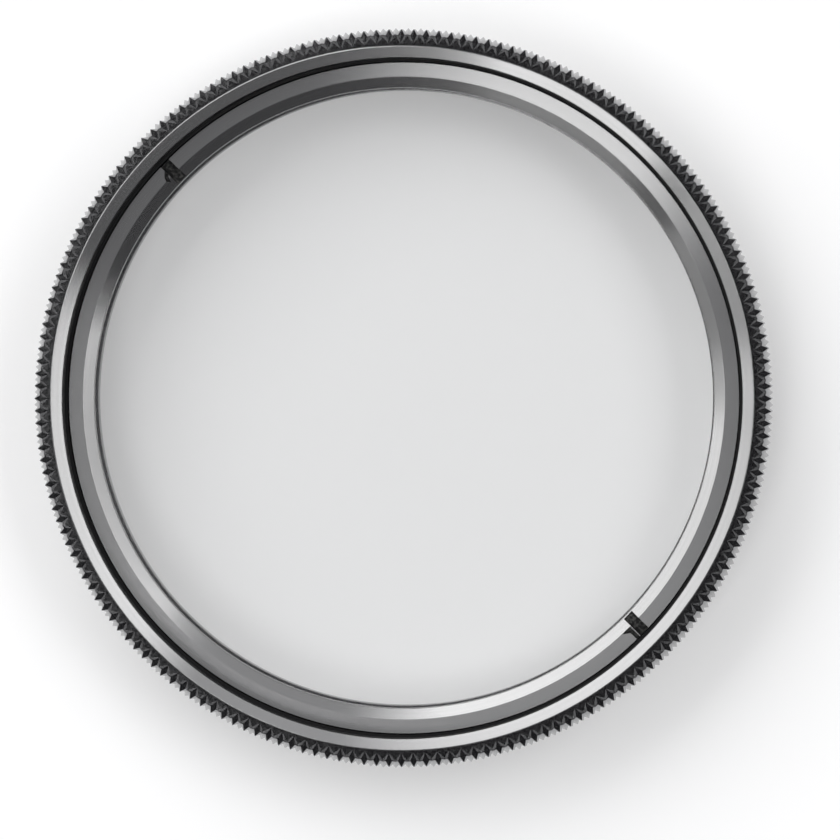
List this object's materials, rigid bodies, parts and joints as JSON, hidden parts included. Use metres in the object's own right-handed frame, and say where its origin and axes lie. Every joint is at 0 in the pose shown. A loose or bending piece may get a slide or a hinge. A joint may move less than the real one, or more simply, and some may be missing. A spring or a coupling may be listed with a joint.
{
  "type": "screw-in lens filter",
  "caption": "Round screw-in lens filter: a knurled metal ring with a male thread behind and a female thread in front, a clear glass disc and a slotted retaining ring.",
  "frame": {"origin": "on the optical axis, at the rear end of the male thread, which is the face the filter rests on", "axes": "+Z along the optical axis, from the rear thread towards the front; X and Y lie in the plane of the glass"},
  "size_m": [0.042, 0.042, 0.0065],
  "materials": {
    "ring_metal": "turned and satin chrome plated",
    "glass": "polished, coated",
    "retainer_metal": "turned and satin chrome plated"
  },
  "bodies": {
    "root": {"mount_ring": "ring_metal", "filter_glass": "glass", "retaining_ring": "retainer_metal"}
  },
  "joints": []
}
